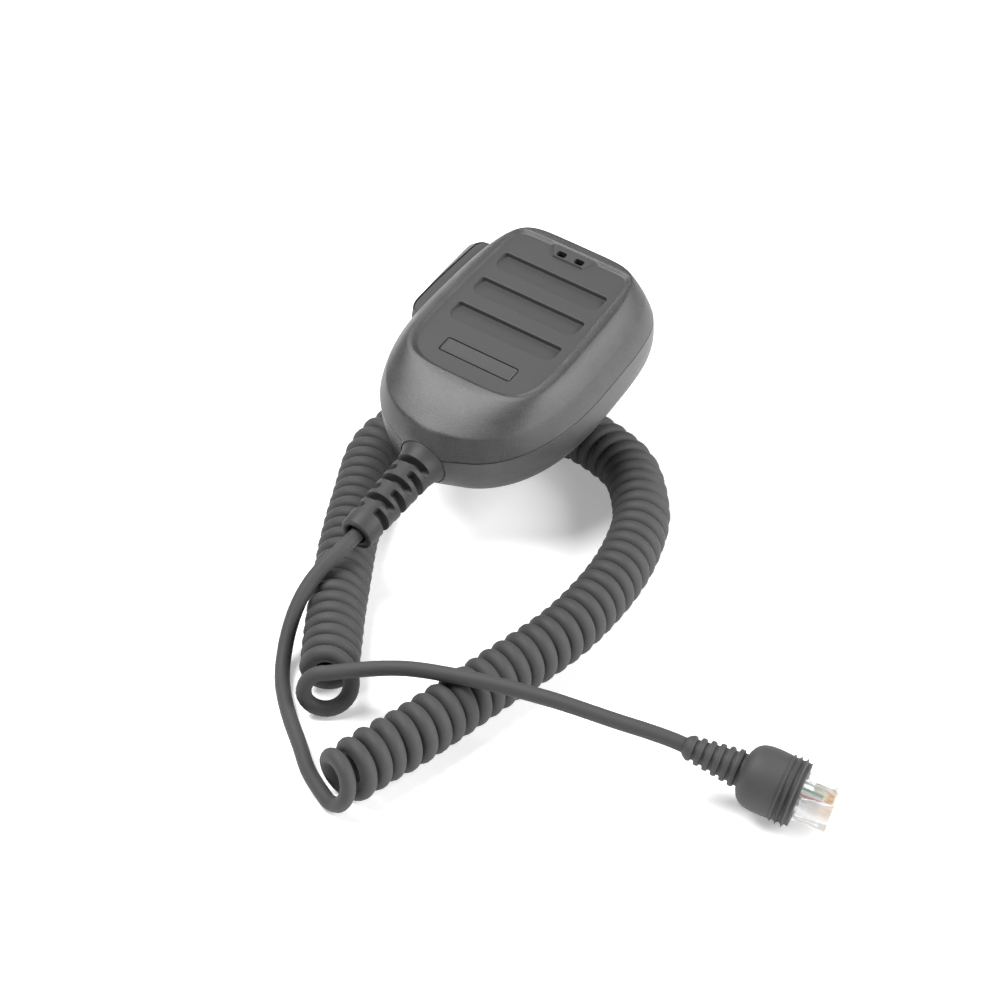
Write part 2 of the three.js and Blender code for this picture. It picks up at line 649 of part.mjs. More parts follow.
// Spring latch under the plug, joined to it at the nose and free towards the boot.
function plugLatch() {
  const { nose } = MODULAR;
  const shape = new THREE.Shape();
  shape.moveTo(nose, -3.6);
  shape.lineTo(nose - 0.2, -4.9);
  shape.lineTo(nose - 4.7, -5.7);
  shape.lineTo(nose - 8.8, -6.9);
  shape.lineTo(nose - 9, -5.9);
  shape.lineTo(nose - 4.4, -4.6);
  shape.lineTo(nose - 1.7, -3.6);
  return plate(shape, -3.1, 3.1).rotateX(Math.PI / 2);
}

add(plug, 'plug_latch', plugLatch(), { ...finish(0xe8ecee, 0.1), transparent: true, opacity: 0.4 });

// ---------- placing ----------

microphone.position.set(0, 0, FACE_HEIGHT);
microphone.rotation.set(
  MathUtils.degToRad(MICROPHONE_PITCH), MathUtils.degToRad(MICROPHONE_ROLL), 0, 'XYZ');
plug.position.copy(PLUG_PLACE);
plug.rotation.set(
  MathUtils.degToRad(PLUG_ROLL), MathUtils.degToRad(-PLUG_PITCH), MathUtils.degToRad(PLUG_HEADING),
  'ZYX');

bench.add(microphone, plug);
bench.position.copy(ORIGIN).negate();

const model = new THREE.Group();
model.add(bench);

export default model;
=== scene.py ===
# Hand microphone on its curly cord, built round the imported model. The row frame is in metres;
# the shapes below are worked out in millimetres, in the microphone's or the plug's own axes,
# and put in place by the MICROPHONE and PLUG matrices.

import math

import bmesh
import bpy
import numpy as np
from mathutils import Matrix, Vector
from mathutils.geometry import delaunay_2d_cdt


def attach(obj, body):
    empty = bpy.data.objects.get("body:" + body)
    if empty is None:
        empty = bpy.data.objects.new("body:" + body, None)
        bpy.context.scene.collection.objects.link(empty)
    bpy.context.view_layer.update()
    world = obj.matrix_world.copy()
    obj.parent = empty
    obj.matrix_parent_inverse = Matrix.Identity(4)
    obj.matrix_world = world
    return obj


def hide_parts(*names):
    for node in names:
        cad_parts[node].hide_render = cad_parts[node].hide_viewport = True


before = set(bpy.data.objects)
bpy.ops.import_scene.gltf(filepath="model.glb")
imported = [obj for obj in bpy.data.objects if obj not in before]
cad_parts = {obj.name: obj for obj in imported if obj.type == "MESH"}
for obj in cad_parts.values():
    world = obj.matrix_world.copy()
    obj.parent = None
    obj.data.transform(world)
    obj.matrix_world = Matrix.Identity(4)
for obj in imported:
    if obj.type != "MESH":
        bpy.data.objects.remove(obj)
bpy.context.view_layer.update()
scene = bpy.context.scene

# ---------- frame ----------

MM = 0.001
ORIGIN = Vector((-2.73, -14.83, 39.24))  # the row's origin on the bench, whose surface is z = 0
BENCH = Matrix.Scale(MM, 4) @ Matrix.Translation(-ORIGIN)
MICROPHONE = (BENCH @ Matrix.Translation((0, 0, 54))
              @ Matrix.Rotation(math.radians(10.4), 4, "X")
              @ Matrix.Rotation(math.radians(3), 4, "Y"))
PLUG = (BENCH @ Matrix.Translation((120.46, -85.56, 16.28))
        @ Matrix.Rotation(math.radians(14.2), 4, "Z")
        @ Matrix.Rotation(math.radians(11.95), 4, "Y")
        @ Matrix.Rotation(math.radians(-105.5), 4, "X"))

# ---------- camera ----------

CAMERA_PLACE = BENCH @ Vector((474.77, -665.25, 650.09))
CAMERA_TARGET = BENCH @ Vector((6.73, -13.01, 0))
camera_data = bpy.data.cameras.new("camera")
camera_data.lens = 123.8
camera_data.sensor_width = 36
camera_data.clip_start = 0.05
camera = bpy.data.objects.new("camera", camera_data)
camera.location = CAMERA_PLACE
camera.rotation_euler = (CAMERA_TARGET - CAMERA_PLACE).to_track_quat("-Z", "Y").to_euler()
scene.collection.objects.link(camera)
scene.camera = camera

# ---------- helpers ----------


def link(name, mesh):
    obj = bpy.data.objects.new(name, mesh)
    scene.collection.objects.link(obj)
    return obj


def build(name, vertices, faces, place=None):
    """A mesh object from points in millimetres, put in place by a matrix."""
    mesh = bpy.data.meshes.new(name)
    mesh.from_pydata([tuple(float(c) for c in v) for v in vertices], [], [tuple(f) for f in faces])
    if place is not None:
        mesh.transform(place)
    mesh.update()
    return link(name, mesh)


def drop(obj):
    mesh = obj.data
    bpy.data.objects.remove(obj)
    bpy.data.meshes.remove(mesh)


def settle(obj):
    """Applies the object's modifiers to its mesh."""
    bpy.context.view_layer.update()
    graph = bpy.context.evaluated_depsgraph_get()
    shape = bpy.data.meshes.new_from_object(obj.evaluated_get(graph))
    old = obj.data
    obj.modifiers.clear()
    obj.data = shape
    bpy.data.meshes.remove(old)
    obj.data.name = obj.name
    return obj


def boolean(obj, tools, operation="DIFFERENCE"):
    for tool in tools:
        modifier = obj.modifiers.new("boolean", "BOOLEAN")
        modifier.object = tool
        modifier.operation = operation
        modifier.solver = "EXACT"
    settle(obj)
    for tool in tools:
        drop(tool)
    return obj


def bevel(obj, width, segments=2, angle=35):
    modifier = obj.modifiers.new("bevel", "BEVEL")
    modifier.width = width
    modifier.segments = segments
    modifier.limit_method = "ANGLE"
    modifier.angle_limit = math.radians(angle)
    modifier.miter_outer = "MITER_ARC"
    return settle(obj)


def shade(obj, angle=32):
    obj.data.polygons.foreach_set("use_smooth", [True] * len(obj.data.polygons))
    obj.data.set_sharp_from_angle(angle=math.radians(angle))
    return obj


def finish(obj, material, body="microphone", replaces=()):
    obj.data.materials.clear()
    obj.data.materials.append(material)
    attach(obj, body)
    if replaces:
        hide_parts(*replaces)
    return obj


def box(low, high, place, name="tool"):
    """A block given by its lowest and highest corners, in millimetres."""
    corners = [(x, y, z) for x in (low[0], high[0]) for y in (low[1], high[1])
               for z in (low[2], high[2])]
    faces = [(0, 1, 3, 2), (4, 6, 7, 5), (0, 4, 5, 1), (2, 3, 7, 6), (0, 2, 6, 4), (1, 5, 7, 3)]
    return build(name, corners, faces, place)


def stack(rings, close_ends=True):
    """Vertices and faces of a skin through rings with equal numbers of points."""
    count = len(rings[0])
    vertices = np.concatenate(rings)
    faces = []
    for level in range(len(rings) - 1):
        low = level * count
        for index in range(count):
            following = (index + 1) % count
            faces.append((low + index, low + following,
                          low + count + following, low + count + index))
    if close_ends:
        faces.append(tuple(reversed(range(count))))
        last = (len(rings) - 1) * count
        faces.append(tuple(last + index for index in range(count)))
    return vertices, faces


def turned(profile, sides, axis, place, name="tool"):
    """A body of revolution. The profile is a list of (radius, distance along the axis), and the
    axis is "x", "y" or "z"."""
    angles = np.linspace(0, 2 * math.pi, sides, endpoint=False)
    rings = []
    for radius, along in profile:
        radius = max(radius, 0.001)
        a, b, c = radius * np.cos(angles), radius * np.sin(angles), np.full(sides, along)
        order = {"x": (c, a, b), "y": (b, c, a), "z": (a, b, c)}[axis]
        rings.append(np.stack(order, 1))
    vertices, faces = stack(rings)
    obj = build(name, vertices, faces, place)
    outward(obj)
    return obj


def outward(obj):
    """Turns all faces outwards."""
    mesh = bmesh.new()
    mesh.from_mesh(obj.data)
    bmesh.ops.recalc_face_normals(mesh, faces=mesh.faces)
    mesh.to_mesh(obj.data)
    mesh.free()


def prism(outline, low, high, place, name="tool", axes="xyz"):
    """A prism from an outline of (x, y) points."""
    rings = [np.array([(x, y, level) for x, y in outline]) for level in (low, high)]
    vertices, faces = stack(rings)
    order = ["xyz".index(letter) for letter in axes]
    obj = build(name, vertices[:, order], faces, place)
    outward(obj)
    return obj


def arc(cx, cy, radius, start, end, steps):
    return [(cx + radius * math.cos(math.radians(start + (end - start) * i / steps)),
             cy + radius * math.sin(math.radians(start + (end - start) * i / steps)))
            for i in range(steps + 1)]


def rounded(width, height, upper, lower, cx=0.0, cy=0.0, grow=0.0, steps=8):
    """A rectangle with one radius on its upper corners and another on its lower ones."""
    half, rise = width / 2 + grow, height / 2 + grow
    upper, lower = max(upper + grow, 0.02), max(lower + grow, 0.02)
    return (arc(cx + half - lower, cy - rise + lower, lower, -90, 0, steps)
            + arc(cx + half - upper, cy + rise - upper, upper, 0, 90, steps)
            + arc(cx - half + upper, cy + rise - upper, upper, 90, 180, steps)
            + arc(cx - half + lower, cy - rise + lower, lower, 180, 270, steps))


def smoothstep(value):
    value = np.clip(value, 0, 1)
    return value * value * (3 - 2 * value)


def catmull(points, per_span):
    """A smooth curve through points, with per_span steps between neighbours."""
    points = [np.array(p, float) for p in points]
    points = [2 * points[0] - points[1]] + points + [2 * points[-1] - points[-2]]
    out = []
    for i in range(1, len(points) - 2):
        a, b, c, d = points[i - 1:i + 3]
        for step in range(per_span):
            t = step / per_span
            out.append(0.5 * (2 * b + (c - a) * t + (2 * a - 5 * b + 4 * c - d) * t ** 2
                              + (3 * b - 3 * c + d - a) * t ** 3))
    out.append(points[-2])
    return np.array(out)


def resample(points, step):
    """Points a fixed step apart along a polyline."""
    spans = np.linalg.norm(np.diff(points, axis=0), axis=1)
    along = np.concatenate([[0], np.cumsum(spans)])
    wanted = np.linspace(0, along[-1], max(2, int(round(along[-1] / step)) + 1))
    return np.stack([np.interp(wanted, along, points[:, k]) for k in range(points.shape[1])], 1)


# ---------- materials ----------


def srgb(value):
    channels = [int(value[i:i + 2], 16) / 255 for i in (0, 2, 4)]
    return tuple(c / 12.92 if c <= 0.04045 else ((c + 0.055) / 1.055) ** 2.4 for c in channels)


def surface(name, color, roughness, grain=0.35, depth=0.02, speckle=0.1, metallic=0.0,
            rough_spread=0.06, specular=0.5, mottle=6.0):
    """A moulded surface: grain is the size of its texture and depth its height, in millimetres,
    speckle is how far its colour varies, and mottle is the size of its broad blotches."""
    material = bpy.data.materials.new(name)
    material.use_nodes = True
    nodes, links = material.node_tree.nodes, material.node_tree.links
    shader = nodes["Principled BSDF"]
    shader.inputs["Metallic"].default_value = metallic
    shader.inputs["Specular IOR Level"].default_value = specular
    place = nodes.new("ShaderNodeTexCoord")

    fine = nodes.new("ShaderNodeTexNoise")
    fine.inputs["Scale"].default_value = 1 / (grain * MM)
    fine.inputs["Detail"].default_value = 3
    fine.inputs["Roughness"].default_value = 0.6
    links.new(place.outputs["Object"], fine.inputs["Vector"])
    broad = nodes.new("ShaderNodeTexNoise")
    broad.inputs["Scale"].default_value = 1 / (mottle * MM)
    broad.inputs["Detail"].default_value = 2
    links.new(place.outputs["Object"], broad.inputs["Vector"])

    blend = nodes.new("ShaderNodeMix")
    blend.data_type = "FLOAT"
    blend.inputs["Factor"].default_value = 0.3
    links.new(fine.outputs["Fac"], blend.inputs["A"])
    links.new(broad.outputs["Fac"], blend.inputs["B"])
    ramp = nodes.new("ShaderNodeValToRGB")
    base = srgb(color)
    ramp.color_ramp.elements[0].position = 0.3
    ramp.color_ramp.elements[1].position = 0.7
    ramp.color_ramp.elements[0].color = (*[c * (1 - speckle) for c in base], 1)
    ramp.color_ramp.elements[1].color = (*[min(1, c * (1 + speckle)) for c in base], 1)
    links.new(blend.outputs["Result"], ramp.inputs["Fac"])
    links.new(ramp.outputs["Color"], shader.inputs["Base Color"])

    rough = nodes.new("ShaderNodeMapRange")
    rough.inputs["From Min"].default_value = 0.3
    rough.inputs["From Max"].default_value = 0.7
    rough.inputs["To Min"].default_value = roughness - rough_spread
    rough.inputs["To Max"].default_value = roughness + rough_spread
    links.new(blend.outputs["Result"], rough.inputs["Value"])
    links.new(rough.outputs["Result"], shader.inputs["Roughness"])

    bump = nodes.new("ShaderNodeBump")
    bump.inputs["Strength"].default_value = 1
    bump.inputs["Distance"].default_value = depth * MM
    links.new(fine.outputs["Fac"], bump.inputs["Height"])
    links.new(bump.outputs["Normal"], shader.inputs["Normal"])
    return material


def clear_plastic():
    material = surface("clear_plastic", "fcfdfe", 0.1, grain=1.2, depth=0.004, speckle=0.01,
                       rough_spread=0.03)
    shader = material.node_tree.nodes["Principled BSDF"]
    shader.inputs["Transmission Weight"].default_value = 0.85
    shader.inputs["IOR"].default_value = 1.3
    shader.inputs["Alpha"].default_value = 0.72
    return material


SHELL = surface("shell_plastic", "393939", 0.44, grain=0.36, depth=0.075, speckle=0.4)
PANEL_PLASTIC = surface("panel_plastic", "3c3c3c", 0.62, grain=0.22, depth=0.006, speckle=0.05,
                        specular=0.36)
KEY = surface("key_plastic", "3d3d3d", 0.5, grain=0.3, depth=0.012, speckle=0.08)
PLATE_PLASTIC = surface("name_plate_plastic", "3a3a3a", 0.5, grain=0.5, depth=0.003, speckle=0.06)
RELIEF_RUBBER = surface("relief_rubber", "353535", 0.56, grain=0.5, depth=0.008, speckle=0.07,
                        specular=0.35)
BOOT_RUBBER = surface("boot_rubber", "3a3a3a", 0.66, grain=0.4, depth=0.012, speckle=0.1)
JACKET = surface("cord_jacket", "3e3e3e", 0.66, grain=0.35, depth=0.012, speckle=0.08, mottle=9,
                 specular=0.35)
SOFT_RUBBER = surface("soft_rubber", "2c2c2d", 0.75, grain=0.5, depth=0.01)
STEEL = surface("steel", "b4b6b8", 0.3, grain=0.6, depth=0.004, speckle=0.05, metallic=1)
SWITCH_PLASTIC = surface("switch_plastic", "202122", 0.5, grain=0.4, depth=0.006)
PLUNGER_PLASTIC = surface("plunger_plastic", "b8322a", 0.42, grain=0.4, depth=0.004)
BOARD = surface("circuit_board", "1f5a35", 0.35, grain=1.4, depth=0.01, speckle=0.25)
CHIP = surface("chip", "1a1a1b", 0.55, grain=0.3, depth=0.006)
CAPSULE_METAL = surface("capsule_metal", "a9abad", 0.34, grain=0.8, depth=0.004, metallic=1)
SCREEN_CLOTH = surface("screen_cloth", "161616", 0.95, grain=0.25, depth=0.05, speckle=0.4)
STUD_PLASTIC = surface("stud_plastic", "2a2b2c", 0.42, grain=0.4, depth=0.006)
CONNECTOR = surface("connector_plastic", "e6e1d2", 0.5, grain=0.5, depth=0.005, speckle=0.04)
GOLD = surface("contact_gold", "d8a848", 0.25, grain=0.5, depth=0.003, speckle=0.05, metallic=1)
CLEAR = clear_plastic()
WIRE_COLORS = {"brown": "6a4a32", "black": "1b1b1c", "red": "b02a26", "grey": "8a8c8d",
               "white": "e8e8e4", "green": "2d8048"}
WIRES = {name: surface("wire_" + name, color, 0.4, grain=0.6, depth=0.003, speckle=0.04)
         for name, color in WIRE_COLORS.items()}

# ---------- cord ----------

CORD_RADIUS = 2.2
SWELL = 1.1  # the wound cord is flattened, and so wider than its straight ends
WINDING_RADIUS = 6.15  # from the coil's centre line to the middle of the cord
EXIT = (-0.9, -70.85, 23.5)
MICROPHONE_LEAD_ROUTE = [
    EXIT, (-0.9, -74.6, 22.8), (-1.3, -79, 21.9), (-2.4, -84.5, 20),
    (-3.3, -90, 17.4), (-3.4, -95.2, 14.4), (-2.8, -99.8, 11.2), (-1.5, -104.4, 7.8),
    (0.5, -108.8, 4.9), (3.6, -113.8, 2.9), (8.4, -119.5, 2.4), (16, -126.6, 2.4),
    (26.3, -134.7, 2.4), (35, -141.6, 2.4),
]
COIL_ROUTE = [
    (46.1, -147.5), (47.4, -143.6), (50, -130), (53, -118.3), (57.7, -88.8), (61.6, -65.8),
    (62.4, -52), (61.4, -36), (58.7, -22.2), (54.1, -9), (49.4, -1), (40.5, 9), (32.3, 14.3),
    (16, 18.3), (0.5, 16.5), (-14, 10.5), (-25.5, 0), (-31, -12.5), (-30.4, -25.9), (-22, -43.5),
    (-12.2, -62.3), (-3, -77.7), (6.3, -92.8), (20.8, -114.7),
]
PLUG_LEAD_ROUTE = [
    (27.6, -113.1, 15), (33.2, -109, 15.7), (39.3, -105.7, 16.6), (45.2, -103.8, 17.6),
    (51.6, -102.5, 18.7), (57.9, -101.1, 19.5), (63.9, -99.4, 19.75), (69.9, -97.7, 19.75),
    (80.4, -95, 19.6), (88.2, -93.3, 19.4), (95.3, -91.9, 19.1), (102.2, -90.4, 18.7),
    (109.2, -88.6, 18.2), (116.19, -86.64, 17.21), (121.6, -85.27, 16.03),
]
TURN_STEPS = 30
TURN_PITCH = 4.72
EARLY_PITCH = 0.5  # added where the coil begins, and gone at two thirds of its length
OPEN_PITCH = 3.4  # added to the very first turn
OPEN_REACH = 6
WIDE_TURNS = 12  # these first turns are a little larger
FIRST_TURN_WIDENING = 0.25
LAST_TURN_WIDENING = 0.75
LAST_TURN_PUSH = 6.8
ROUTE_STEP = 0.1
HEADING_REACH = 0.5


def pitch_at(along, total):
    """Distance between turns: open at the start, closer towards the far end."""
    opening = OPEN_PITCH * math.exp(-along / OPEN_REACH)
    share = along / total
    return TURN_PITCH + EARLY_PITCH * (1 - smoothstep(share * 1.5)) + opening


def helix():
    """The middle of the cord along the coil, from its underside to the top of its last turn."""
    line = resample(catmull(COIL_ROUTE, 16), ROUTE_STEP)
    spans = np.linalg.norm(np.diff(line, axis=0), axis=1)
    along = np.concatenate([[0], np.cumsum(spans)])
    total = along[-1]
    pitches = np.array([pitch_at(s, total) for s in along[1:]])
    turns = np.concatenate([[0], np.cumsum(spans / pitches)])
    whole = math.floor(turns[-1] - 0.5) + 0.5  # half a turn over, to end on top
    turns *= whole / turns[-1]
    wanted = np.linspace(0, whole, int(whole * TURN_STEPS) + 1)
    s = np.interp(wanted, turns, along)
    centre = np.stack([np.interp(s, along, line[:, k]) for k in (0, 1)], 1)
    ahead = np.stack([np.interp(s + HEADING_REACH, along, line[:, k]) for k in (0, 1)], 1)
    behind = np.stack([np.interp(s - HEADING_REACH, along, line[:, k]) for k in (0, 1)], 1)
    run = ahead - behind
    run /= np.linalg.norm(run, axis=1)[:, None]
    left = np.stack([-run[:, 1], run[:, 0]], 1)
    angle = math.radians(-90) - wanted * 2 * math.pi
    left_over = np.clip(whole - wanted, 0, 1)
    loose = np.sin(math.pi * left_over) ** 2  # the last turn hangs open
    push = smoothstep(2 - 2 * left_over) - 0.5 * smoothstep(1 - 2 * left_over)
    widening = FIRST_TURN_WIDENING * (1 - smoothstep(wanted / WIDE_TURNS))
    radius = WINDING_RADIUS + widening
    across = (radius + LAST_TURN_WIDENING * loose) * np.cos(angle)
    flat = centre + left * across[:, None] + run * (LAST_TURN_PUSH * push)[:, None]
    height = CORD_RADIUS * SWELL + radius + radius * np.sin(angle)
    return np.concatenate([flat, height[:, None]], 1)


def make_cord():
    coil = helix()
    lead = catmull(MICROPHONE_LEAD_ROUTE + [tuple(coil[0]), tuple(coil[2])], 8)[:-8]
    tail = catmull([tuple(coil[-3]), tuple(coil[-1])] + PLUG_LEAD_ROUTE, 8)[8:]
    path = np.concatenate([lead[:-1], coil, tail[1:]])
    after_start = np.arange(len(path)) - (len(lead) - 1)
    before_end = len(lead) - 1 + len(coil) - np.arange(len(path))
    wound = smoothstep(after_start / TURN_STEPS) * smoothstep(before_end / TURN_STEPS)
    swell = 1 + (SWELL - 1) * wound
    length = float(np.linalg.norm(np.diff(path, axis=0), axis=1).sum()) * MM
    curve = bpy.data.curves.new("cord", "CURVE")
    curve.dimensions = "3D"
    curve.bevel_depth = CORD_RADIUS * MM
    curve.bevel_resolution = 5
    curve.use_fill_caps = True
    spline = curve.splines.new("POLY")
    spline.points.add(len(path) - 1)
    for point, position, factor in zip(spline.points, path, swell):
        point.co = (*(BENCH @ Vector(position)), 1)
        point.radius = factor
    spline.use_smooth = True
    obj = bpy.data.objects.new("cord", curve)
    scene.collection.objects.link(obj)
    finish(obj, JACKET, "microphone",
           ("cord_lead_microphone", "cord_coil", "cord_lead_plug"))
    return obj, length


cord, CORD_LENGTH = make_cord()
print("cord length", round(CORD_LENGTH, 3))

# ---------- microphone shells ----------

PARTING_Z = -13
BACK_Z = -28.5
WALL = 2.2
LAND = WALL / 2
SEAM = 0.15  # half of the gap between the shells
SEAM_ROUNDING = 0.22
GASKET_GROOVE = 0.85
SKIN_STEPS = 5  # rings of the skin between two control rings
SHELL_CREASE = 38  # degrees
CEILING_Z = -3.6
FLOOR_Z = -26.7
PANEL_DEPTH = 0.8
RING_POINTS = 288
PANEL = dict(half=21.7, top=35.2, bottom=23, top_power=14, bottom_power=4.3, taper=0.0019)
RIM = dict(half=24.2, top=38.7, bottom=24.2, top_power=6, bottom_power=4.3, taper=0.001)
SHOULDER = dict(half=30, top=41, bottom=41, top_power=4.8, bottom_power=2.4, taper=0.0012)
PARTING = dict(half=32.5, top=41.9, bottom=44.2, top_power=4.7, bottom_power=2.3, taper=0.0008)
CORD_Z = -17.2
COLLAR_RADIUS = 7.8
COLLAR_END = -44.7
COLLAR_GAP = 0.12
STUD_Y = 8
STUD_PAD = [(9.8, BACK_Z + 0.5), (9.8, BACK_Z), (9.5, BACK_Z - 1), (9.3, BACK_Z - 1.2)]
SCREW_WELL = [(3, -30), (3, -27.6), (1.6, -27.2), (1.6, -20)]
CASE_SCREWS = [(19, 29.5), (-19, 29.5), (15.5, -26), (-15.5, -26)]
LEVER_WINDOW = ((-40, -4.2, -19.1), (-25.9, 32.6, -7.9))


def ring(plan, z, inset=0.0):
    """An outline of the microphone seen from the front: a superellipse above, whose sides lean in
    towards the top end, and one below."""
    angle = np.linspace(0, 2 * math.pi, RING_POINTS, endpoint=False)
    sine, cosine = np.sin(angle), np.cos(angle)
    upper = sine >= 0
    reach = np.where(upper, plan["top"], plan["bottom"]) - inset
    power = np.where(upper, plan["top_power"], plan["bottom_power"])
    across = np.abs(cosine) / (plan["half"] - inset)
    radius = (across ** power + (np.abs(sine) / reach) ** power) ** (-1 / power)
    y = radius * sine
    lean = 1 - plan["taper"] * np.maximum(y, 0)
    return np.stack([radius * cosine * lean, y, np.full_like(y, z)], 1)


def between(inner, outer, share, z):
    out = inner + (outer - inner) * share
    out[:, 2] = z
    return out


def spline_rings(controls, per_span):
    """Rings on a cubic B-spline through the first and last control rings."""
    padded = [2 * controls[0] - controls[1]] + list(controls) + [2 * controls[-1] - controls[-2]]
    out = []
    for i in range(len(padded) - 3):
        a, b, c, d = padded[i:i + 4]
        last = i == len(padded) - 4
        for step in range(per_span + (1 if last else 0)):
            t = step / per_span
            out.append(((1 - t) ** 3 * a + (3 * t ** 3 - 6 * t ** 2 + 4) * b
                        + (-3 * t ** 3 + 3 * t ** 2 + 3 * t + 1) * c + t ** 3 * d) / 6)
    return out


def fillet(before, corner, after, trim, steps=4):
    """Rings that round the edge at a corner ring."""
    def toward(target):
        span = target - corner
        distance = np.linalg.norm(span, axis=1)[:, None]
        return corner + span * np.minimum(trim / np.maximum(distance, 1e-6), 0.45)
    start, end = toward(before), toward(after)
    return [(1 - t) ** 2 * start + 2 * t * (1 - t) * corner + t * t * end
            for t in np.linspace(0, 1, steps + 1)]


FLARE_REACH = 6
FLARE_POWER = 2.6
FLARE_BELOW = -30  # only the lower end is drawn out


def flare(rings):
    """Draws the skin out round the cord's collar in a hollow curve."""
    for points in rings:
        low = points[:, 1] < FLARE_BELOW
        distance = np.hypot(points[:, 0], points[:, 2] - CORD_Z)
        share = np.clip((distance - COLLAR_RADIUS) / FLARE_REACH, 0, 1)
        drawn = (COLLAR_END - points[:, 1]) * (1 - share) ** FLARE_POWER
        points[:, 1] += np.where(low, drawn, 0)


# Front panel: pockets, plate recess and the tab round the sound holes.
POCKET = dict(width=37, height=6.8, depth=1.5, pitch=11.9, first=25.6, upper=1.0, lower=3.3)
POCKET_COUNT = 3
POCKET_STEP = 0.12  # depth at a pocket's lower edge
POCKET_CHAMFER = 0.12
POCKET_CHAMFER_REACH = 0.4
POCKET_WALL_START = 0.15  # outside the pocket's edge
POCKET_WALL_WIDTH = 0.5
POCKET_LOOPS = (0.55, 0.4, 0.15, 0.06, -0.04, -0.14, -0.26, -0.38, -0.5, -0.6, -0.8)
PLATE = dict(width=24.8, height=5, y=-14.7, radius=0.6)
PLATE_GAP = 0.3
PLATE_DEPTH = 0.75
PLATE_WALL_WIDTH = 0.2
PLATE_LOOPS = (0.2, 0.1, 0.04, -0.04, -0.1, -0.25)
TAB = [(-8.4, 36.5), (-5.3, 31.3), (5.3, 31.3), (8.4, 36.5)]
TAB_HEIGHT = 0.66
TAB_WALL_WIDTH = 0.5
TAB_LOOPS = (-0.35, -0.2, -0.08, 0.08, 0.2, 0.35)
SOUND_HOLE = dict(x=3.15, y=32.9, width=3.2, height=2.1, radius=0.7)
PANEL_GRID = 1.5
INSIDE_ONLY = 1  # the triangulation keeps what its outermost loop holds
SAME_POINT = 1e-5


def rounded_distance(x, y, width, height, upper, lower, cx, cy):
    """Signed distance from the edge of a rounded rectangle, negative inside."""
    px, py = np.abs(x - cx), y - cy
    radius = np.where(py > 0, upper, lower)
    qx, qy = px - width / 2 + radius, np.abs(py) - height / 2 + radius
    inside = np.minimum(np.maximum(qx, qy), 0)
    return inside + np.hypot(np.maximum(qx, 0), np.maximum(qy, 0)) - radius


def tab_distance(x, y):
    """Distance inside the tab's three free edges, negative outside."""
    (ax, ay), (bx, by) = TAB[2], TAB[3]
    span = math.hypot(bx - ax, by - ay)
    side = ((by - ay) * (ax - np.abs(x)) - (bx - ax) * (ay - y)) / span
    return np.minimum(side, y - TAB[1][1])


def tab_level(x, y):
    """Height of the panel with its tab, before anything is sunk into it."""
    return -PANEL_DEPTH + TAB_HEIGHT * smoothstep(tab_distance(x, y) / TAB_WALL_WIDTH + 0.5)


def panel_height(x, y):
    z = tab_level(x, y)
    for index in range(POCKET_COUNT):
        top = POCKET["first"] - index * POCKET["pitch"]
        cy = top - POCKET["height"] / 2
        edge = rounded_distance(x, y, POCKET["width"], POCKET["height"], POCKET["upper"],
                                POCKET["lower"], 0, cy)
        rise = np.clip((y - top) / POCKET["height"] + 1, 0, 1)
        near = np.clip((POCKET_CHAMFER_REACH - edge) / POCKET_CHAMFER_REACH, 0, 1)
        chamfer = POCKET_CHAMFER * near * (0.2 + 0.8 * rise)
        wall = POCKET["depth"] * smoothstep((POCKET_WALL_START - edge) / POCKET_WALL_WIDTH)
        floor = POCKET_STEP + (POCKET["depth"] - POCKET_STEP) * rise
        sunk = np.where(edge < POCKET_WALL_START, np.minimum(wall, floor), 0)
        z -= np.maximum(chamfer, sunk)
    edge = rounded_distance(x, y, PLATE["width"], PLATE["height"], PLATE["radius"],
                            PLATE["radius"], 0, PLATE["y"]) - PLATE_GAP
    z -= PLATE_DEPTH * smoothstep((PLATE_WALL_WIDTH / 2 - edge) / PLATE_WALL_WIDTH)
    return z


def panel_mesh(border):
    """The flat of the panel, triangulated with an edge loop along every step in it."""
    points = [tuple(p[:2]) for p in border]
    edges = [(i, (i + 1) % len(border)) for i in range(len(border))]

    def loop(outline):
        first = len(points)
        points.extend(outline)
        edges.extend((first + i, first + (i + 1) % len(outline)) for i in range(len(outline)))

    for index in range(POCKET_COUNT):
        cy = POCKET["first"] - index * POCKET["pitch"] - POCKET["height"] / 2
        for grow in POCKET_LOOPS:
            loop(rounded(POCKET["width"], POCKET["height"], POCKET["upper"], POCKET["lower"],
                         0, cy, grow, 10))
    for grow in PLATE_LOOPS:
        loop(rounded(PLATE["width"], PLATE["height"], PLATE["radius"], PLATE["radius"],
                     0, PLATE["y"], PLATE_GAP + grow, 6))
    top = border[:, 1].max() - 0.02
    slope = (TAB[3][0] - TAB[2][0]) / (TAB[3][1] - TAB[2][1])
    for grow in TAB_LOOPS:
        first = len(points)
        low = TAB[1][1] - grow
        half = TAB[2][0] + grow
        wide = half + (top - 0.3 - low) * slope
        points.extend([(-wide, top - 0.3), (-half, low), (half, low), (wide, top - 0.3)])
        edges.extend([(first, first + 1), (first + 1, first + 2), (first + 2, first + 3)])
    inner = np.abs(border[:, 0]).max() - 1
    for gx in np.arange(-inner, inner, PANEL_GRID):
        for gy in np.arange(border[:, 1].min() + 1, top - 0.6, PANEL_GRID):
            points.append((gx, gy))
    result = delaunay_2d_cdt([Vector(p) for p in points], edges, [], INSIDE_ONLY, SAME_POINT)
    flat, triangles, origins = result[0], result[2], result[3]
    xy = np.array([tuple(p) for p in flat])
    place = {}
    for new, old in enumerate(origins):
        for source in old:
            if source < len(border):
                place[new] = source
    return xy, triangles, place


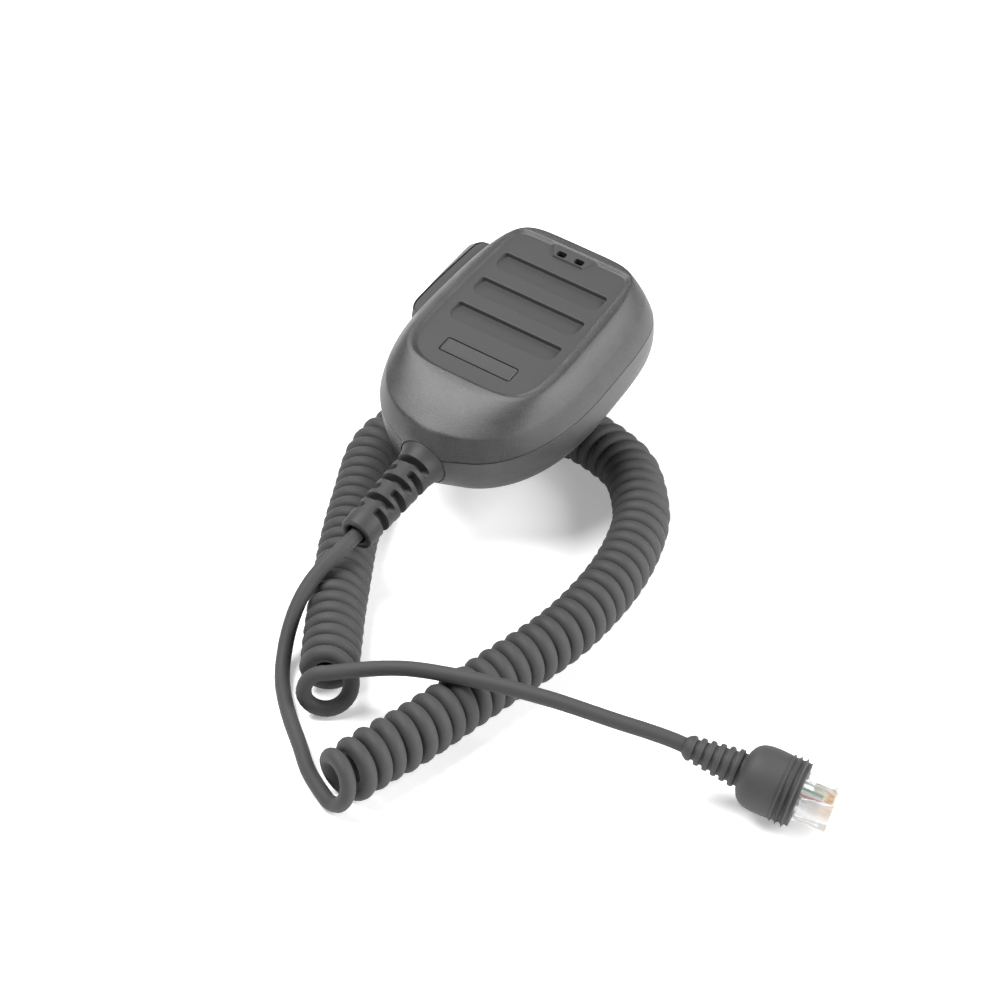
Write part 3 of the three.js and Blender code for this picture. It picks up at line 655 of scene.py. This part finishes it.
PANEL_BORDER = 0.5  # width of the panel's outermost strip
RIM_CHAMFER = 1.15  # width of the slope from the panel up to the rim
FACET_DEPTH = 6
FACET_POWER = 1.45


def front_shell():
    face = PARTING_Z + SEAM
    rim, shoulder = ring(RIM, 0), ring(SHOULDER, -FACET_DEPTH)
    panel_edge = ring(PANEL, -PANEL_DEPTH)
    border = ring(PANEL, -PANEL_DEPTH, PANEL_BORDER)
    land_edge = ring(PANEL, 0, -RIM_CHAMFER)
    facet = [between(rim, shoulder, share, -FACET_DEPTH * share ** FACET_POWER)
             for share in (0.12, 0.25, 0.4, 0.55, 0.7, 0.84, 0.94)]
    parting_edge = ring(PARTING, face)
    land = ring(PARTING, face, LAND)
    wall = [between(shoulder, ring(PARTING, 0), share, z)
            for share, z in ((0.2, -7), (0.5, -8.8), (0.8, -11))]
    side = spline_rings([*facet, shoulder, *wall, parting_edge], SKIN_STEPS)
    panel_slope = ([border] + fillet(border, panel_edge, land_edge, 0.3)
                   + fillet(panel_edge, land_edge, rim, 0.25))
    rim_edge = fillet(land_edge, rim, facet[0], 0.45)
    outside = (panel_slope + rim_edge + side[:-1]
               + fillet(side[-2], parting_edge, land, SEAM_ROUNDING))
    inside = [land, ring(PARTING, face + GASKET_GROOVE, LAND),
              ring(PARTING, face + GASKET_GROOVE, WALL), ring(SHOULDER, -8.2, WALL + 0.6),
              ring(PANEL, CEILING_Z, -1.4), ring(PANEL, CEILING_Z, 1)]
    flare(outside)
    for points in panel_slope + rim_edge[:1]:
        points[:, 2] = np.maximum(points[:, 2], tab_level(points[:, 0], points[:, 1]))
    rings = outside + inside
    vertices, faces = stack(rings, close_ends=False)
    xy, triangles, on_border = panel_mesh(border)
    first = len(vertices)
    z = panel_height(xy[:, 0], xy[:, 1])
    flat = np.concatenate([xy, z[:, None]], 1)
    number = {i: on_border.get(i, first + i) for i in range(len(xy))}
    vertices = np.concatenate([vertices, flat])
    faces += [tuple(number[i] for i in reversed(face)) for face in triangles]
    last = (len(rings) - 1) * RING_POINTS
    faces.append(tuple(last + index for index in range(RING_POINTS)))
    mesh = bpy.data.meshes.new("front_shell_skin")
    mesh.from_pydata([tuple(map(float, v)) for v in vertices], [], faces)
    tidy = bmesh.new()
    tidy.from_mesh(mesh)
    bmesh.ops.delete(tidy, geom=[v for v in tidy.verts if not v.link_faces], context="VERTS")
    bmesh.ops.recalc_face_normals(tidy, faces=tidy.faces)
    tidy.to_mesh(mesh)
    tidy.free()
    mesh.transform(MICROPHONE)
    obj = link("front_shell_skin", mesh)
    holes = [prism(rounded(SOUND_HOLE["width"], SOUND_HOLE["height"], SOUND_HOLE["radius"],
                           SOUND_HOLE["radius"], side * SOUND_HOLE["x"], SOUND_HOLE["y"]),
                   -5, 1, MICROPHONE) for side in (-1, 1)]
    boolean(obj, [*holes, box(*LEVER_WINDOW, MICROPHONE), collar_hole()])
    return shade(obj, SHELL_CREASE)


def collar_hole():
    radius = COLLAR_RADIUS + COLLAR_GAP
    return turned([(radius, -60), (radius, -40.5)], 96, "y",
                  MICROPHONE @ Matrix.Translation((0, 0, CORD_Z)))


def panel_finish(shell):
    """Gives the sunk panel the smoother of the shell's two textures."""
    shell.data.materials.append(PANEL_PLASTIC)
    back = MICROPHONE.inverted()
    highest = -PANEL_DEPTH + TAB_HEIGHT + 0.1
    lowest = CEILING_Z + 0.2
    for polygon in shell.data.polygons:
        x, y, z = back @ polygon.center
        if lowest < z < highest and abs(x) < PANEL["half"] - 0.1 and in_panel(x, y):
            polygon.material_index = 1


def in_panel(x, y):
    reach, power = ((PANEL["top"], PANEL["top_power"]) if y > 0
                    else (PANEL["bottom"], PANEL["bottom_power"]))
    lean = 1 - PANEL["taper"] * max(y, 0)
    return (abs(x) / (PANEL["half"] * lean)) ** power + (abs(y) / reach) ** power < 0.99


# The rear shell's outside as heights and insets, down its side and round onto its back.
BACK_CURVE = [(-16.5, 0), (-20, 0.1), (-24, 0.8), (-27, 2.2), (BACK_Z, 5.2), (BACK_Z, 8.8),
              (BACK_Z, 11)]


def rear_shell():
    face = PARTING_Z - SEAM
    edge = ring(PARTING, face)
    land = ring(PARTING, face, LAND)
    side = spline_rings([edge] + [ring(PARTING, z, inset) for z, inset in BACK_CURVE], SKIN_STEPS)
    outside = fillet(land, edge, side[1], SEAM_ROUNDING) + side[1:]
    flare(outside)
    inside = [ring(PARTING, FLOOR_Z, 9.5), ring(PARTING, FLOOR_Z + 1.6, 5.6),
              ring(PARTING, -22, 3.4), ring(PARTING, face - GASKET_GROOVE, WALL),
              ring(PARTING, face - GASKET_GROOVE, LAND), land]
    vertices, faces = stack(inside + outside)
    obj = build("rear_shell_skin", vertices, faces, MICROPHONE)
    outward(obj)
    pad = turned(STUD_PAD, 72, "z", MICROPHONE @ Matrix.Translation((0, STUD_Y, 0)))
    boolean(obj, [pad], "UNION")
    wells = [turned(SCREW_WELL, 40, "z", MICROPHONE @ Matrix.Translation((x, y, 0)))
             for x, y in CASE_SCREWS]
    boolean(obj, [box(*LEVER_WINDOW, MICROPHONE), collar_hole(), *wells])
    return shade(obj, SHELL_CREASE)


front = finish(front_shell(), SHELL, replaces=("front_shell",))
panel_finish(front)
finish(rear_shell(), SHELL, replaces=("rear_shell",))


def name_plate():
    """A blank plate just below the panel's face, with a raised border."""
    low, high = -PANEL_DEPTH - 0.6, -PANEL_DEPTH - 0.02
    sunk = high - 0.06
    levels = [(low, 0.0), (high - 0.12, 0.0), (high, -0.12), (high, -0.5), (sunk, -0.6),
              (sunk, -1.2)]
    rings = [np.array([(x, y, z) for x, y in rounded(
        PLATE["width"], PLATE["height"], PLATE["radius"], PLATE["radius"], 0, PLATE["y"], grow)])
        for z, grow in levels]
    vertices, faces = stack(rings)
    obj = build("name_plate_blank", vertices, faces, MICROPHONE)
    outward(obj)
    return shade(obj, 30)


finish(name_plate(), PLATE_PLASTIC, replaces=("name_plate",))

# ---------- press-to-talk lever ----------

LEVER_SIDE = catmull([(-33.8, -3.2), (-35.1, -1.2), (-35.8, 2.4), (-36.2, 12), (-36.3, 20),
                      (-36.3, 28)], 6)
LEVER_OUTLINE = ([(-28.5, -3.7), (-32.2, -3.7)] + [tuple(p) for p in LEVER_SIDE]
                 + [(-36.2, 29.8), (-35.7, 31), (-34.6, 31.8), (-33, 32.1), (-28.6, 32.2)])
LEVER_LOW_END = -3.7
LEVER_REACH = 35.3
LEVER_CENTRE = (-28.5, 15)
LEVER_HALF = (7.8, 18)  # half width and half length, for drawing its outline in
LEVER_TOP = -8.2
LEVER_TOP_INSET = 0.5


def lever():
    """The part of the lever outside the shell is a key whose outer bevel widens towards its top
    end. A fine groove parts the bevel from the narrow flat along the shell."""
    outline = np.array(LEVER_OUTLINE)
    x, y = outline.T
    share = np.clip((y - LEVER_LOW_END) / LEVER_REACH, 0, 1)  # from the pivot's end to the free end
    outer = smoothstep((-30.5 - x) / 2)

    def level(z, inset):
        centre = np.array(LEVER_CENTRE)
        flat = centre + (outline - centre) * (1 - inset / np.array(LEVER_HALF))
        return np.concatenate([flat, np.full((len(flat), 1), z)], 1)

    def top(depth, setback, fall, beyond=0.0):
        points = level(LEVER_TOP - depth, LEVER_TOP_INSET)
        points[:, 0] += outer * (setback * (0.2 + 2.5 * share) + beyond)
        points[:, 2] -= outer * fall * (0.9 + 1.1 * share)
        return points

    rings = [level(-18.8, 0.7), level(-18.4, 0.3), level(-17.6, 0), level(-12.6, 0),
             level(-11.8, 0.15), top(0.35, 0.02, 1), top(0.2, 0.1, 0.9), top(0, 1, 0.06),
             top(0, 1, 0, 0.1), top(0.06, 1, 0, 0.24), top(0.4, 1, 0, 0.36), top(0.4, 1, 0, 0.56),
             top(0.12, 1, 0, 0.72), top(0.08, 1, 0, 1.2)]
    vertices, faces = stack(rings)
    obj = build("ptt_key", vertices, faces, MICROPHONE)
    outward(obj)
    return shade(obj, 24)


finish(lever(), KEY, "lever", ("ptt_lever",))

# ---------- strain relief ----------

FIRST_SLOT = -50.1
SLOT_PITCH = 8.1
SLOT_HALF_WIDTH = 1.22
SLOT_HALF_ARC = 69  # degrees
SLOT_CORE = 2.9
SLOT_EDGE = 0.1  # half of the rounding of a slot's edge
SLEEVE = [(COLLAR_RADIUS - 0.1, -44.5), (7.35, -45.1), (6.95, -45.9), (6.6, -46.9), (6.35, -48),
          (6.2, -49), (5.35, -77.1), (5.1, -77.5)]
SLEEVE_START = -39.6  # inside the shells
SLEEVE_END = -77.5
BORE = 2.4  # radius of the hole for the cord, which opens out at the mouth
MOUTH = 3.3
MOUTH_DEPTH = 3.1
SLOT_STATIONS = (-1.05, -0.8, -0.55, -0.35, -0.2, -0.13, -0.07, 0, 0.07, 0.13, 0.2)


def slot_rows():
    """The middle of each slot: its distance along the sleeve and its angle about it."""
    rows = []
    for index in range(3):
        y = FIRST_SLOT - index * SLOT_PITCH
        rows += [(y, 90), (y, 270), (y - SLOT_PITCH / 2, 0), (y - SLOT_PITCH / 2, 180)]
    return rows


def sleeve_ring(y, angles, outer):
    """One ring of the sleeve's skin, sunk to the core where it crosses a slot."""
    sunk = np.zeros(len(angles))
    for middle, facing in slot_rows():
        turn = np.abs((angles - math.radians(facing) + math.pi) % (2 * math.pi) - math.pi)
        half_arc = outer * math.radians(SLOT_HALF_ARC) - SLOT_HALF_WIDTH
        beyond = np.maximum(outer * turn - half_arc, 0)
        edge = np.hypot(beyond, y - middle) - SLOT_HALF_WIDTH
        sunk = np.maximum(sunk, smoothstep((SLOT_EDGE - edge) / (2 * SLOT_EDGE)))
    radius = outer - (outer - SLOT_CORE) * sunk
    return np.stack([radius * np.cos(angles), np.full(len(angles), y), radius * np.sin(angles)], 1)


def strain_relief():
    place = MICROPHONE @ Matrix.Translation((0, 0, CORD_Z))
    angles = np.linspace(0, 2 * math.pi, 192, endpoint=False)
    radii, stations = np.array(SLEEVE).T
    levels = set(stations)
    for middle, _ in slot_rows():
        levels |= {middle + side * (SLOT_HALF_WIDTH + off)
                   for side in (-1, 1) for off in SLOT_STATIONS}
    levels = sorted(levels, reverse=True)
    rings = [sleeve_ring(y, angles, np.interp(-y, -stations, radii)) for y in levels]

    def plain(radius, y):
        return np.stack([radius * np.cos(angles), np.full(len(angles), y),
                         radius * np.sin(angles)], 1)

    bottom = SLEEVE_END + MOUTH_DEPTH
    rings = ([plain(BORE, SLEEVE_START), plain(COLLAR_RADIUS - 0.1, SLEEVE_START)] + rings
             + [plain(MOUTH + 0.3, SLEEVE_END), plain(MOUTH, SLEEVE_END + 0.3),
                plain(MOUTH, bottom), plain(BORE, bottom)])
    vertices, faces = stack(rings)
    obj = build("strain_relief_sleeve", vertices, faces, place)
    outward(obj)
    return shade(obj, 60)


finish(strain_relief(), RELIEF_RUBBER, replaces=("strain_relief",))

# ---------- plug ----------

BOOT_LENGTH = 33.2
BOOT_RIBS = 6
BOOT_RIB_PITCH = 2.64
BOOT_FINS = [28.05, 29.8, 31.6]
MODULAR = dict(length=21.5, width=11.68, height=6.5, nose=42.9)
CONTACT_PITCH = 1.02
CONTACT_COUNT = 8


def boot_profile():
    """Six rounded ribs on a taper, a bulb, and three thin fins before a plain end."""
    profile = [(2.22, -0.6), (2.35, -0.5), (2.8, -0.1), (3.15, 0.35)]
    for index in range(BOOT_RIBS):
        start = 0.75 + index * BOOT_RIB_PITCH
        radius = 3.38 + index * 0.34
        profile += [(radius + 0.26 * math.sin(math.pi * t) ** 0.6, start + 1.5 * t)
                    for t in np.linspace(0, 1, 9)]
        profile += [(radius - 0.3, start + 1.58), (radius - 0.45, start + 1.75),
                    (radius - 0.42, start + 2.35), (radius - 0.25, start + 2.55)]
    bulb = catmull([(5.15, 16.5), (6.1, 16.9), (7.4, 17.7), (8.5, 19.1), (9.1, 21), (9.3, 23.4),
                    (9.2, 27)], 6)
    profile += [tuple(p) for p in bulb]
    for index, middle in enumerate(BOOT_FINS):
        tip = 9.68 + index * 0.12
        profile += [(9.1, middle - 0.55), (9.3, middle - 0.28), (tip - 0.05, middle - 0.08),
                    (tip, middle + 0.02), (tip - 0.05, middle + 0.12), (9.25, middle + 0.3),
                    (8.95, middle + 0.6)]
    profile += [(8.98, BOOT_LENGTH - 0.6), (9.05, BOOT_LENGTH - 0.2), (8.95, BOOT_LENGTH)]
    return profile


def plug_boot():
    obj = turned(boot_profile(), 96, "x", PLUG, "plug_boot_skin")
    start = MODULAR["nose"] - MODULAR["length"] - 0.3
    outline = rounded(MODULAR["width"] + 0.7, MODULAR["height"] + 0.7, 0.6, 0.6)
    tool = prism(outline, start, BOOT_LENGTH + 1, PLUG, axes="zxy")
    boolean(obj, [tool])
    return shade(obj, 40)


finish(plug_boot(), BOOT_RUBBER, replaces=("plug_boot",))


def way_y(index):
    return (index - (CONTACT_COUNT - 1) / 2) * CONTACT_PITCH


def modular_plug():
    start, nose = MODULAR["nose"] - MODULAR["length"], MODULAR["nose"]
    half, rise = MODULAR["width"] / 2, MODULAR["height"] / 2
    # The cuts are the wires' channel, the hollow behind the strain bar, the step at the nose,
    # the two side windows and the slots over the contacts.
    obj = box((start, -half, -rise), (nose, half, rise), PLUG, "modular_plug_body")
    tools = [box((start - 1, -4.4, -0.75), (nose - 3.4, 4.4, 0.75), PLUG),
             box((nose - 14.8, -4.2, 1.6), (nose - 11.3, 4.2, 4), PLUG),
             box((nose - 1.5, -half - 1, rise - 0.9), (nose + 1, half + 1, rise + 1), PLUG),
             box((nose - 8.8, half - 0.55, -1.2), (nose - 2.2, half + 1, 0.6), PLUG),
             box((nose - 8.8, -half - 1, -1.2), (nose - 2.2, -half + 0.55, 0.6), PLUG)]
    for index in range(CONTACT_COUNT):
        y = way_y(index)
        tools.append(box((nose - 7, y - 0.3, 0.7), (nose + 1, y + 0.3, 4), PLUG))
    boolean(obj, tools)
    bevel(obj, 0.12 * MM, 2, 40)
    return shade(obj, 30)


finish(modular_plug(), CLEAR, replaces=("modular_plug",))


def plug_latch():
    nose = MODULAR["nose"]
    outline = [(nose, -3.6), (nose - 0.2, -4.9), (nose - 2.5, -5.35), (nose - 4.7, -5.7),
               (nose - 7, -6.3), (nose - 8.8, -6.9), (nose - 9, -5.9), (nose - 7, -5.4),
               (nose - 4.4, -4.6), (nose - 1.7, -3.6)]
    rings = [np.array([(x, y, z) for x, z in outline]) for y in (-3.1, 3.1)]
    vertices, faces = stack(rings)
    obj = build("plug_latch_tongue", vertices, faces, PLUG)
    outward(obj)
    bevel(obj, 0.15 * MM, 2, 40)
    return shade(obj, 30)


finish(plug_latch(), CLEAR, "latch", ("plug_latch",))

# ---------- carried-over pieces ----------

CARRIED = {
    "steel": (STEEL, ["ptt_pivot_pin", "board_screw_1", "board_screw_2", "case_screw_1",
                      "case_screw_2", "case_screw_3", "case_screw_4", "stud_screw", "stud_nut",
                      "cord_clamp", "clamp_screw_1", "clamp_screw_2"]),
    "soft_rubber": (SOFT_RUBBER, ["housing_gasket_1", "housing_gasket_2", "capsule_boot"]),
    "switch": (SWITCH_PLASTIC, ["switch_body"]),
    "plunger": (PLUNGER_PLASTIC, ["switch_plunger"]),
    "board": (BOARD, ["circuit_board"]),
    "chip": (CHIP, ["board_chip"]),
    "capsule": (CAPSULE_METAL, ["mic_capsule"]),
    "screen": (SCREEN_CLOTH, ["dust_screen"]),
    "connector": (CONNECTOR, ["board_connector"]),
    "stud": (STUD_PLASTIC, ["hang_up_stud"]),
    "jacket": (JACKET, ["inner_cord"]),
    "gold": (GOLD, [f"plug_contact_{n}" for n in range(1, CONTACT_COUNT + 1)]),
}


def dress(node, material):
    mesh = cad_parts[node].data
    mesh.materials.clear()
    mesh.materials.append(material)


for material, names in CARRIED.values():
    for node in names:
        dress(node, material)
for color, material in WIRES.items():
    dress("inner_wire_" + color, material)
    dress("plug_wire_" + color, material)

# ---------- cord's facts ----------

ON_CORD = ["plug_boot_skin", "modular_plug_body", "plug_latch_tongue"]
ON_CORD += [f"plug_wire_{color}" for color in WIRE_COLORS]
ON_CORD += [f"plug_contact_{n}" for n in range(1, CONTACT_COUNT + 1)]

# ---------- floor and light ----------


def floor():
    half = 6
    z = -ORIGIN.z * MM - 0.0001  # just below the bench's surface
    corners = [(-half, -half, z), (half, -half, z), (half, half, z), (-half, half, z)]
    obj = build("floor", corners, [(0, 1, 2, 3)])
    paint = surface("floor_paint", "f6f6f6", 0.9, grain=4, depth=0.002, speckle=0.01,
                    specular=0.1, mottle=60)
    shader = paint.node_tree.nodes["Principled BSDF"]
    shader.inputs["Emission Color"].default_value = (1, 1, 1, 1)
    shader.inputs["Emission Strength"].default_value = 0.32  # lit from below, as a light table
    obj.data.materials.append(paint)


def light(name, place, target, size, power):
    data = bpy.data.lights.new(name, "AREA")
    data.shape = "DISK"
    data.size = size
    data.energy = power
    obj = bpy.data.objects.new(name, data)
    obj.location = place
    obj.rotation_euler = (Vector(target) - Vector(place)).to_track_quat("-Z", "Y").to_euler()
    scene.collection.objects.link(obj)


floor()
light("overhead", (-0.43, -0.22, 0.96), (0, 0, 0), 0.7, 19)
light("right_back", (0.83, 0.48, 0.54), (0, 0, 0), 0.7, 10)
light("left_back", (-0.8, 0.65, 0.4), (0, 0, 0), 0.3, 2.5)
light("right_front", (1, -0.06, 0.36), (0, 0, 0), 0.8, 8)
world = bpy.data.worlds.new("studio")
world.use_nodes = True
world.node_tree.nodes["Background"].inputs["Color"].default_value = (1, 1, 1, 1)
world.node_tree.nodes["Background"].inputs["Strength"].default_value = 0.06
scene.world = world
scene.view_settings.view_transform = "Standard"

# ---------- final update ---

bpy.context.view_layer.update()
